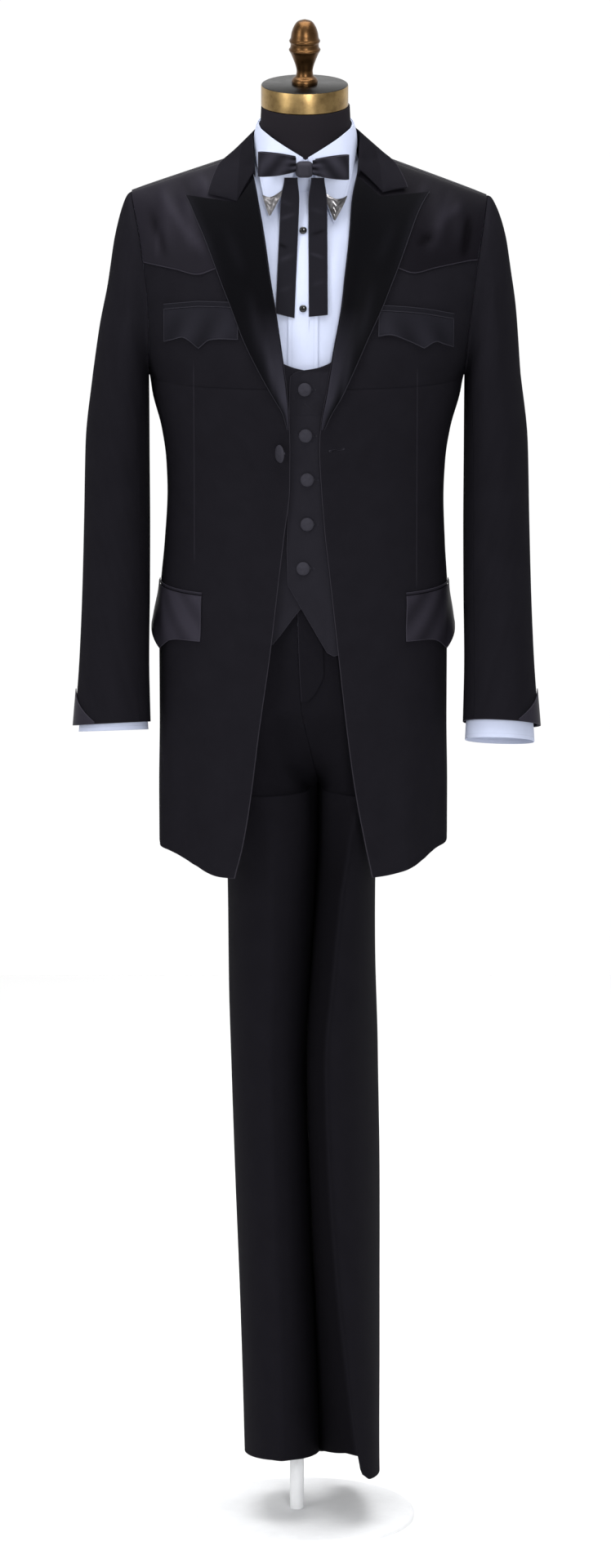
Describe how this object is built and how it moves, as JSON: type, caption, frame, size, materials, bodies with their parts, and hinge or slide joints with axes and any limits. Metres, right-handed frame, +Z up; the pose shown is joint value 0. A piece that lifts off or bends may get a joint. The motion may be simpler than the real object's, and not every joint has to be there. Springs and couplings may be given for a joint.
{
  "type": "western tuxedo on a dress form",
  "caption": "Black western tuxedo with a long coat, satin yokes and pointed flaps, waistcoat, trousers, white shirt and string bow tie, worn by a limbless dress form on a round base.",
  "frame": {"origin": "centre of the round base's underside, on the floor", "axes": "+Z up, the garment's front faces -Y, the wearer's left is +X"},
  "size_m": [0.5868, 0.2851, 1.9298],
  "materials": {
    "coat_cloth": "matte black wool weave",
    "satin": "black satin",
    "light_satin": "black satin with a paler sheen",
    "trouser_cloth": "matte black wool weave",
    "vest_cloth": "black figured weave",
    "shirt_cloth": "white cotton",
    "form_linen": "dark linen cover",
    "silver": "polished silver",
    "black_stud": "gloss black",
    "brass": "satin brass band, darker top",
    "bronze": "dark turned bronze",
    "painted_steel": "pale grey paint"
  },
  "bodies": {
    "root": {"coat_back_left": "coat_cloth", "coat_back_right": "coat_cloth", "coat_button": "satin", "coat_chest_flap_left": "satin", "coat_chest_flap_right": "satin", "coat_chest_welt_left": "satin", "coat_chest_welt_right": "satin", "coat_collar": "coat_cloth", "coat_cuff_patch_left": "light_satin", "coat_cuff_patch_right": "light_satin", "coat_front_left": "coat_cloth", "coat_front_right": "coat_cloth", "coat_hip_flap_left": "light_satin", "coat_hip_flap_right": "light_satin", "coat_lapel_left": "satin", "coat_lapel_right": "satin", "coat_sleeve_top_left": "coat_cloth", "coat_sleeve_top_right": "coat_cloth", "coat_sleeve_under_left": "coat_cloth", "coat_sleeve_under_right": "coat_cloth", "coat_yoke_back": "light_satin", "coat_yoke_front_left": "light_satin", "coat_yoke_front_right": "light_satin", "collar_tip_left": "silver", "collar_tip_right": "silver", "form_base": "painted_steel", "form_cap": "brass", "form_finial": "bronze", "form_pole": "painted_steel", "form_torso": "form_linen", "shirt_back": "shirt_cloth", "shirt_collar_fall": "shirt_cloth", "shirt_collar_stand": "shirt_cloth", "shirt_cuff_left": "shirt_cloth", "shirt_cuff_right": "shirt_cloth", "shirt_front": "shirt_cloth", "shirt_placket": "shirt_cloth", "shirt_sleeve_left": "shirt_cloth", "shirt_sleeve_right": "shirt_cloth", "shirt_stud_lower": "black_stud", "shirt_stud_upper": "black_stud", "tie_knot": "satin", "tie_loop_left": "satin", "tie_loop_right": "satin", "tie_tail_left": "satin", "tie_tail_right": "satin", "trousers_back_left": "trouser_cloth", "trousers_back_right": "trouser_cloth", "trousers_fly": "trouser_cloth", "trousers_front_left": "trouser_cloth", "trousers_front_right": "trouser_cloth", "trousers_waistband": "trouser_cloth", "vest_back": "vest_cloth", "vest_button_1": "satin", "vest_button_2": "satin", "vest_button_3": "satin", "vest_button_4": "satin", "vest_button_5": "satin", "vest_front_left": "vest_cloth", "vest_front_right": "vest_cloth"}
  },
  "joints": []
}
